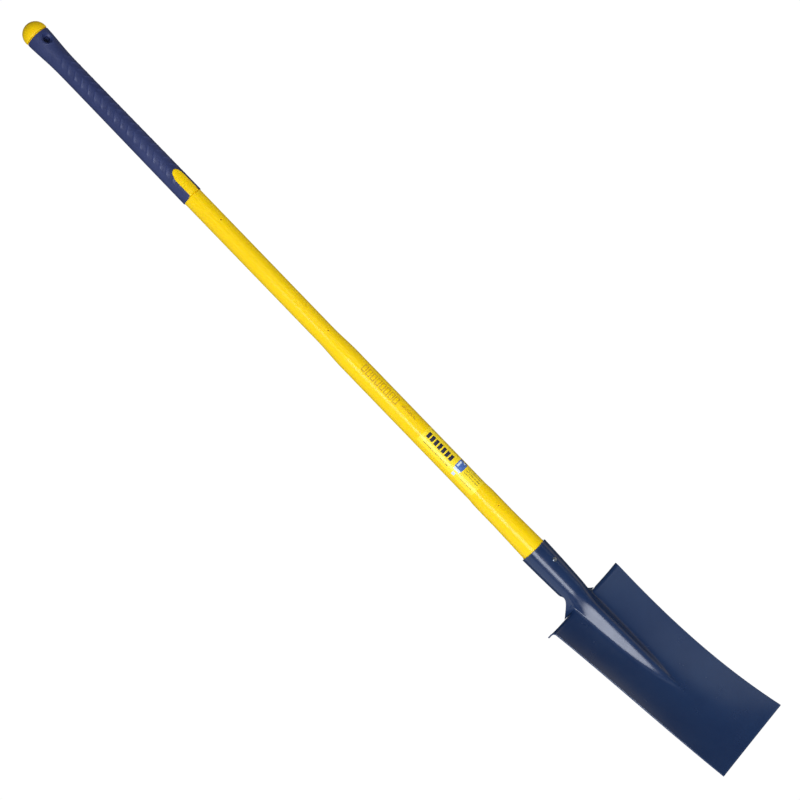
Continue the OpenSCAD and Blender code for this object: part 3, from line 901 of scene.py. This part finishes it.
def pin_mark_floor(i, rise):
    """A brown plate at the bottom of a pin's mark, which paints shade into the pit."""
    place = ((-3.6, 3.6), (rise - 0.9, rise + 0.9))
    floor = wrapped_plates(f"pin_mark_{i}", [place], sleeve_r(rise) - PIN_MARK_DEPTH + 0.08, 0.1)
    # Painted shade: a dark brown plate stands in for the shadow in the shallow pit.
    pit_shade = printed(f"pin_mark_shade_{i}", linear(120, 74, 10), linear(150, 100, 20), 0.6)
    settle(floor, pit_shade, "sleeve_plastic")


def shaft_sleeve():
    plastic = yellow_plastic("sleeve_yellow", linear(251, 209, 2), linear(247, 203, 4), 0.22)
    sleeve = lathe("sleeve_skin", sleeve_profile(), 192, sleeve_skin)
    settle(sleeve, plastic, "sleeve_plastic", "shaft_sleeve")
    settle(tongue(), plastic, "sleeve_plastic")
    for i, rise in enumerate(PIN_MARK_RISES):
        pin_mark_floor(i, rise)


# ---- The grip ----


def grip_r(rise):
    """Slimmest below the flare that leads up to the cap."""
    flare_start = CAP_RISE - GRIP_FLARE_LEN
    body = mix(GRIP_END_R, GRIP_WAIST_R, ease(GRIP_RISE, flare_start, rise))
    return body + (GRIP_TOP_R - GRIP_WAIST_R) * ease(flare_start, CAP_RISE, rise) ** 2


def chevron(turn, rise):
    """Height share of the chevron ridges: arms that slope down on both sides of the front."""
    arc = np.abs(turn) * GRIP_WAIST_R
    phase = (rise + CHEVRON_LEAN * arc) / CHEVRON_PITCH
    off = (phase - np.floor(phase) - 0.5) * CHEVRON_PITCH / math.hypot(1, CHEVRON_LEAN)
    ridge = bell(off, np.where(off > 0, *CHEVRON_SIDES))
    reach = ease(*np.radians(CHEVRON_RISES), np.abs(turn))
    reach = reach * (1 - ease(*np.radians(CHEVRON_ENDS), np.abs(turn)))
    start = rise + CHEVRON_LEAN * arc
    first = ease(CHEVRON_LOW, CHEVRON_LOW + CHEVRON_FADE, start)
    last = 1 - ease(CHEVRON_HIGH, CHEVRON_HIGH + CHEVRON_FADE, start)
    return ridge * reach * (first * last)


def grip_skin(angles, rise, r):
    """Chevrons on the front, and the dished mouth of the hang hole on the front and back."""
    move = CHEVRON_HEIGHT * chevron(half_turn(angles), rise)
    x = r * np.sin(angles)
    d = np.hypot(x, rise - HANG_RISE)
    dish = (1 - ease(HANG_R - 0.6, HANG_MOUTH_R, d)) * HANG_MOUTH_DEPTH
    raised_lip = 0.25 * bell(d - HANG_MOUTH_R - 0.3, 0.8)
    return move - dish + raised_lip


def grip_profile():
    """A closed loop up the outside and down the bore, finer around the hang hole."""
    top, top_corner = CAP_RISE - CAP_GROOVE, 0.4
    fine_from = HANG_RISE - 11
    rises = np.concatenate([
        np.arange(GRIP_RISE + GRIP_CORNER, fine_from, 0.8),
        np.linspace(fine_from, top - top_corner, 62),
    ])
    mid_corner = 0.35
    corner = [(GRIP_END_R - GRIP_CORNER, GRIP_RISE), (GRIP_END_R - mid_corner, GRIP_RISE + mid_corner)]
    skin = [(float(grip_r(z)), float(z)) for z in rises]
    start = (GRIP_BORE_R, GRIP_RISE)
    end = [(GRIP_TOP_R - top_corner, top), (GRIP_BORE_R, top)]
    return [start, *corner, *skin, *end, start]


def window_cutter():
    """Cuts the grip's window for the tongue, open at the grip's lower end."""
    rim = tongue_rim(TONGUE_HALF_W, TONGUE_LEN)
    below = rim[[0, -1]] + [0, -3]
    rim = np.concatenate([rim, below[::-1]])
    return prism("window_cutter", [(x, -(GRIP_RISE + z)) for x, z in rim], (4, 24))


def rod(name, r, length, steps=64):
    """A plain rod on the hang hole's axis, to cut a hole with or to line one."""
    angles = np.arange(steps) * 2 * math.pi / steps
    outline = [(r * math.cos(a), r * math.sin(a) - HANG_RISE) for a in angles]
    return prism(name, outline, (-length / 2, length / 2))


def mark_ridges(piece):
    """Stores on each point how much of a chevron ridge it is, for the rubber's painted highlight on the
    ridges.
    """
    co = np.zeros(len(piece.data.vertices) * 3)
    piece.data.vertices.foreach_get("co", co)
    co = co.reshape(-1, 3)
    turn = np.arctan2(co[:, 0], -co[:, 1])
    value = chevron(turn, (co[:, 2] - MOUTH_Z) / MM)
    piece.data.attributes.new("ridge", "FLOAT", "POINT").data.foreach_set("value", value)


def hand_grip():
    """The ribbed rubber grip, and the rubber lining of the hang hole."""
    grip = lathe("grip_rubber", grip_profile(), 160, grip_skin)
    cut(grip, window_cutter())
    cut(grip, rod("hole_cutter", HANG_R, CUTTER_LEN))
    smooth_by_angle(grip, 38)
    mark_ridges(grip)
    skin = rubber()
    settle(grip, skin, "grip_rubber", "hand_grip")
    liner = rod("hole_liner", HANG_R + LINER_T, 2 * (GRIP_BORE_R + 0.6))
    cut(liner, rod("liner_cutter", HANG_R, CUTTER_LEN))
    smooth_by_angle(liner, 35)
    settle(liner, skin, "grip_rubber")


def end_cap():
    """The domed cap, its neck in the groove above the grip, and its spigot in the shaft."""
    lean = math.acos(GRIP_TOP_R / DOME_R)
    tall = (DOME_RISE - CAP_RISE) / (1 + math.sin(lean))
    angles = np.linspace(-lean, math.pi / 2, 30)
    dome = [(DOME_R * math.cos(a), CAP_RISE + tall * (math.sin(a) + math.sin(lean))) for a in angles]
    dome[-1] = (0.0, dome[-1][1])
    low, high = CAP_RISE - CAP_GROOVE + 0.1, CAP_RISE + CAP_GROOVE
    neck = GRIP_TOP_R - CAP_GROOVE_DEPTH
    foot = [(neck, low), (neck, high), (GRIP_TOP_R - 0.5, high)]
    shoulder = SLEEVE_TOP_RISE + TOUCH_GAP
    spigot = [(0.0, SPIGOT_RISE), (SPIGOT_R - SPIGOT_CHAMFER, SPIGOT_RISE), (SPIGOT_R, SPIGOT_RISE + 1)]
    spigot += [(SPIGOT_R, shoulder), (UNDER_GRIP_R, shoulder), (UNDER_GRIP_R, low)]
    cap = lathe("cap_dome", [*spigot, *foot, *dome[2:]], 128)
    cut(cap, rod("cap_cutter", HANG_R + LINER_T, CUTTER_LEN))
    smooth_by_angle(cap, 35)
    plastic = yellow_plastic("cap_yellow", linear(250, 206, 3), linear(246, 200, 6), 0.42)
    settle(cap, plastic, "cap_plastic", "end_cap")


# ---- Rivet, label and stamped marks ----


def rivet():
    """A pin with a domed head; its profile is turned about the rivet's own axis."""
    base, steps = float(socket_r(RIVET_DROP)) - 0.25, 48
    angles = np.linspace(0.0, math.pi / 2, 12)
    head = [(RIVET_HEAD_R * math.cos(a), base + RIVET_HEAD_H * math.sin(a)) for a in angles]
    dimple = [(r, h - RIVET_DIMPLE * (1 - float(ease(0.5, 1.3, r)))) for r, h in head]
    dimple[-1] = (0.0, dimple[-1][1])
    profile = [(0.0, RIVET_INNER_END), (RIVET_PIN_R, RIVET_INNER_END), (RIVET_PIN_R, base), *dimple]
    forward = np.array([math.sin(RIVET_TURN), math.cos(RIVET_TURN), 0])
    side = np.array([math.cos(RIVET_TURN), -math.sin(RIVET_TURN), 0])
    down = np.array([0, 0, 1.0])
    verts, rings = [], []
    for r, h in profile:
        count = 1 if r < 1e-6 else steps
        rings.append([len(verts) + i for i in range(count)])
        for a in np.arange(count) * 2 * math.pi / count:
            sideways = math.cos(a) * side + math.sin(a) * down
            verts.append(RIVET_DROP * down + h * forward + r * sideways)
    piece = make_object("rivet_head", placed(verts), turned_faces(rings, steps), 35)
    face_outwards(piece)
    settle(piece, bare_steel(), "rivet_steel", "socket_rivet")


# A plate has a point about every so many degrees around the shaft and millimetres along it
PLATE_TURN_STEP, PLATE_RISE_STEP = 3, 6


def wrapped_plates(name, boxes, r, thick):
    """Thin plates that follow the shaft. Each box is (from, to) in degrees, (from, to) in rise."""
    verts, faces = [], []
    for (a0, a1), (z0, z1) in boxes:
        across = max(2, int(abs(a1 - a0) / PLATE_TURN_STEP) + 1)
        along = max(2, int(abs(z1 - z0) / PLATE_RISE_STEP) + 1)
        start = len(verts)
        for radius in (r, r + thick):
            for z in np.linspace(z0, z1, along):
                for a in np.radians(np.linspace(a0, a1, across)):
                    verts.append((radius * math.sin(a), radius * math.cos(a), -z))
        layer = across * along

        def at(side, i, j):
            return start + side * layer + i * across + j

        for i in range(along - 1):
            for j in range(across - 1):
                for side in (0, 1):
                    ring = [at(side, i, j), at(side, i + 1, j), at(side, i + 1, j + 1), at(side, i, j + 1)]
                    faces.append(ring[:: 1 if side else -1])
        edge = [(0, j) for j in range(across)] + [(i, across - 1) for i in range(1, along)]
        edge += [(along - 1, j) for j in range(across - 2, -1, -1)]
        edge += [(i, 0) for i in range(along - 2, 0, -1)]
        for (i, j), (k, m) in zip(edge, edge[1:] + edge[:1]):
            faces.append([at(0, i, j), at(0, k, m), at(1, k, m), at(1, i, j)])
    piece = make_object(name, placed(verts), faces, 60)
    face_outwards(piece)
    return piece


# A place on the shaft is (from, to) in degrees from the front, and (from, to) in rise
LABEL_SIDES = (-66, 46)
FILM_R = SWELL_R + 0.01
FILM_T = 0.12
INK_T = 0.02

BAR_SIDES = (-22, 11)
BAR_W, BAR_PITCH, BAR_COUNT = 5.0, 7.1, 7
BAR_TOP = LABEL_HIGH - 5.5

# The blue block, and the dark and pale patches on and beside it, with rises above its lower edge
BLOCK_SIDES = (-20, 35)
BLOCK_LOW, BLOCK_HIGH = LABEL_LOW + 32, LABEL_LOW + 45
DARK_PATCHES = (((36, 45), (0.8, 5.4)), ((36, 45), (7.4, 12.2)))
PALE_PATCHES = (
    ((-33, -20.5), (1, 12)),
    ((-60, -44), (4, 9)),
    ((-12, 22), (8.5, 11.5)),
    ((24, 33), (3, 6)),
)

# Small print: the lengths of its dashes, and where the label's four equal lines run
DASHES = (4.6, 2.2, 5.4, 3.2, 6.0, 1.8)
LINE_MIDDLES, LINE_HALF_W = (-10, 5, 22, 38), 1.7

FRAME_SIDES = (-24, 17)
FRAME_LOW, FRAME_LEN, FRAME_PITCH, FRAME_COUNT = 271.5, 6.4, 8.6, 8
FRAME_LINE = 0.9


def fine_print(sides, low, high, space=1.0):
    """Boxes of unequal length along one line, which stand for small print."""
    boxes, z, i = [], high, 0
    while z > low:
        end = max(z - DASHES[i % len(DASHES)], low)
        boxes.append((sides, (end, z)))
        z, i = end - space, i + 1
    return boxes


def on_block(patches):
    return [(sides, (BLOCK_LOW + low, BLOCK_LOW + high)) for sides, (low, high) in patches]


def label():
    """A thin film with plain bars in place of its print."""

    def lay(name, boxes, layer, ink):
        plates = wrapped_plates(name, boxes, FILM_R + FILM_T + layer * INK_T, INK_T)
        settle(plates, ink, "label_print")

    film = wrapped_plates("film", [(LABEL_SIDES, (LABEL_LOW, LABEL_HIGH))], FILM_R, FILM_T)
    paper = printed("film_print", linear(255, 222, 20), linear(250, 212, 18))
    settle(film, paper, "label_print", "label_film")

    tops = [BAR_TOP - BAR_PITCH * i for i in range(BAR_COUNT)]
    bold = [(BAR_SIDES, (top - BAR_W, top)) for top in tops] + on_block(DARK_PATCHES)
    lay("label_bars", bold, 0, printed("ink_dark", linear(40, 38, 56), linear(58, 56, 70)))
    block = [(BLOCK_SIDES, (BLOCK_LOW, BLOCK_HIGH))]
    lay("label_block", block, 0, printed("ink_blue", linear(72, 108, 178), linear(110, 138, 196)))
    pale = printed("ink_pale", linear(206, 222, 240), linear(190, 206, 226))
    lay("label_pale", on_block(PALE_PATCHES), 1, pale)

    lines = []
    for middle in LINE_MIDDLES:
        sides = (middle - LINE_HALF_W, middle + LINE_HALF_W)
        lines += fine_print(sides, LABEL_LOW + 3, BLOCK_LOW - 3)
    lines += fine_print((-48, -45.5), LABEL_LOW + 6, BLOCK_LOW - 6, 1.6)
    lines += fine_print((-49, -46), BLOCK_HIGH + 5, BAR_TOP - 3, 1.4)
    lines += fine_print((33, 36.5), BLOCK_HIGH + 4, BAR_TOP, 1.4)
    lay("label_lines", lines, 0, printed("ink_olive", linear(128, 112, 30), linear(160, 140, 40)))


def stamped_marks():
    """A row of thin outlined frames, and two lines of dashes, in place of lettering."""
    left, right = FRAME_SIDES
    arc = FRAME_LINE / SWELL_R * 180 / math.pi
    boxes = []
    for i in range(FRAME_COUNT):
        low = FRAME_LOW + i * FRAME_PITCH
        high = low + FRAME_LEN
        boxes += [((left, left + arc), (low, high)), ((right - arc, right), (low, high))]
        boxes += [(FRAME_SIDES, (low, low + FRAME_LINE)), (FRAME_SIDES, (high - FRAME_LINE, high))]
    boxes += fine_print((-4, 0), 238, 264, 1.6)
    boxes += fine_print((3, 7), 241, 262, 2.2)
    stamped = wrapped_plates("stamped_frames", boxes, SWELL_R - 0.02, 0.05)
    foil = printed("stamp_foil", linear(184, 134, 22), linear(212, 160, 26), 0.45)
    settle(stamped, foil, "sleeve_plastic")


def carried_over():
    """The core and its plugs keep their CAD shape and get their own materials."""
    fibre, plug = glass_fibre(), dark_plastic()
    for node, material in (("core_tube", fibre), ("core_tip_plug", plug), ("core_top_plug", plug)):
        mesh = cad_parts[node].data
        mesh.materials.clear()
        mesh.materials.append(material)


# ---- Studio, in metres ----

FLOOR_GAP = 0.002
SURROUND_R = 60.0
WORLD_COLOUR, WORLD_STRENGTH = (0.8, 0.9, 1, 1), 0.12

PLAIN, COOL, COLD, WARM = (1, 1, 1), (0.96, 1, 1.1), (0.9, 1, 1.2), (1, 0.85, 0.55)

# Soft boxes: name, azimuth, height, distance, (width, height), radiance, colour, and whether the
# object shows them as highlights. Azimuth 0 is in front and grows to +X.
SOFT_BOXES = (
    ("key_box", -44, -1.15, 2.4, (0.95, 1.5), 9.2, COOL, True),
    ("left_wall", -112, -0.8, 2.4, (3.0, 3.0), 0.5, COLD, True),
    ("left_low_wall", -112, -1.4, 2.3, (3.0, 0.9), 0.4, COLD, True),
    ("front_wall", 4, -0.5, 2.4, (1.35, 0.8), 0.85, (0.85, 1, 1.15), True),
    ("low_strip", 40, -1.5, 2.4, (0.12, 0.8), 3.0, (0.9, 1, 1.1), True),
    ("right_wall", 72, -0.8, 2.4, (0.8, 2.6), 0.8, WARM, True),
    ("left_fill", -70, -0.4, 2.6, (1.2, 3.0), 1.5, PLAIN, False),
    ("front_fill", -5, -0.3, 2.8, (1.6, 3.0), 1.5, PLAIN, False),
    ("right_fill", 50, -0.05, 2.6, (0.8, 1.6), 0.8, PLAIN, False),
    ("back_fill", 165, -0.5, 2.8, (2.2, 3.0), 3.2, PLAIN, False),
    ("back_box", 151, -0.7, 2.6, (0.5, 2.2), 2.5, PLAIN, True),
    ("far_right_fill", 100, -0.5, 2.7, (1.2, 3.0), 1.6, PLAIN, False),
)

# The camera: where it stands, how far it lays the shaft over, where it aims along the tool's
# height and beside its axis, and the width of what it sees there
CAMERA_AZIMUTH, CAMERA_LAY = math.radians(-29), math.radians(45.98)
CAMERA_DISTANCE = 2.855
AIM_SHARE, AIM_SIDE = 0.4759, 0.0108
VIEW_W = 1.0827


def glow_material(name, colour, strength):
    material = bpy.data.materials.new(name)
    material.use_nodes = True
    nodes = material.node_tree.nodes
    nodes.remove(nodes["Principled BSDF"])
    glow = nodes.new("ShaderNodeEmission")
    glow.inputs["Color"].default_value = colour
    glow.inputs["Strength"].default_value = strength
    material.node_tree.links.new(glow.outputs[0], nodes["Material Output"].inputs["Surface"])
    return material


def stage_object(name, verts, faces, material):
    mesh = bpy.data.meshes.new(name)
    mesh.from_pydata(verts, [], faces)
    mesh.materials.append(material)
    thing = bpy.data.objects.new(name, mesh)
    bpy.context.scene.collection.objects.link(thing)
    return thing


def seen_by_camera_only(thing):
    """Keeps a thing out of the lighting and of every reflection."""
    thing.visible_diffuse = thing.visible_glossy = thing.visible_transmission = False
    thing.visible_shadow = False


def floor_and_backdrop():
    """A white floor under the blade and a white surround, which light nothing."""
    z, reach = cad_low.z - FLOOR_GAP, SURROUND_R
    corners = [(-reach, -reach, z), (reach, -reach, z), (reach, reach, z), (-reach, reach, z)]
    white = glow_material("pale_floor", (1, 1, 1, 1), 1.02)
    seen_by_camera_only(stage_object("floor", corners, [(0, 1, 2, 3)], white))
    bm = bmesh.new()
    bmesh.ops.create_uvsphere(bm, u_segments=32, v_segments=16, radius=reach)
    verts = [tuple(v.co) for v in bm.verts]
    faces = [tuple(v.index for v in f.verts) for f in bm.faces]
    bm.free()
    seen_by_camera_only(stage_object("surround", verts, faces, white))


def soft_box(name, azimuth, height, distance, size, radiance, colour, mirrored):
    """An area light that faces the shaft's axis at a height above or below the origin."""
    a = math.radians(azimuth)
    out = Vector((math.sin(a), -math.cos(a), 0))
    light = bpy.data.lights.new(name, "AREA")
    light.shape, light.size, light.size_y = "RECTANGLE", size[0], size[1]
    light.energy, light.color = radiance * math.pi * size[0] * size[1], colour
    lamp = bpy.data.objects.new(name, light)
    lamp.location = Vector((0, 0, height)) + out * distance
    lamp.rotation_mode = "QUATERNION"
    lamp.rotation_quaternion = out.to_track_quat("Z", "Y")
    lamp.visible_glossy = mirrored
    bpy.context.scene.collection.objects.link(lamp)


def studio():
    world = bpy.data.worlds.new("studio")
    world.use_nodes = True
    background = world.node_tree.nodes["Background"]
    background.inputs["Color"].default_value = WORLD_COLOUR
    background.inputs["Strength"].default_value = WORLD_STRENGTH
    bpy.context.scene.world = world
    for box in SOFT_BOXES:
        soft_box(*box)
    bpy.context.scene.view_settings.view_transform = "Standard"


def camera():
    """The picture looks level at the tool, from its left, with the shaft laid on a diagonal."""
    vertical = Vector((0, 0, 1))
    back = Vector((math.sin(CAMERA_AZIMUTH), -math.cos(CAMERA_AZIMUTH), 0))
    side = Vector((math.cos(CAMERA_AZIMUTH), math.sin(CAMERA_AZIMUTH), 0))
    aim = Vector((0, 0, mix(cad_low.z, cad_high.z, AIM_SHARE))) + side * AIM_SIDE
    data = bpy.data.cameras.new("camera")
    data.lens = data.sensor_width * CAMERA_DISTANCE / VIEW_W
    data.clip_start, data.clip_end = 0.05, 500
    up = vertical * math.sin(CAMERA_LAY) + side * math.cos(CAMERA_LAY)
    right = side * math.sin(CAMERA_LAY) - vertical * math.cos(CAMERA_LAY)
    turned = Matrix((right, up, back)).transposed().to_4x4()
    turned.translation = aim + back * CAMERA_DISTANCE
    shot = bpy.data.objects.new("camera", data)
    shot.matrix_world = turned
    bpy.context.scene.collection.objects.link(shot)
    bpy.context.scene.camera = shot


spade_head()
shaft_sleeve()
hand_grip()
end_cap()
rivet()
label()
stamped_marks()
carried_over()
floor_and_backdrop()
studio()
camera()
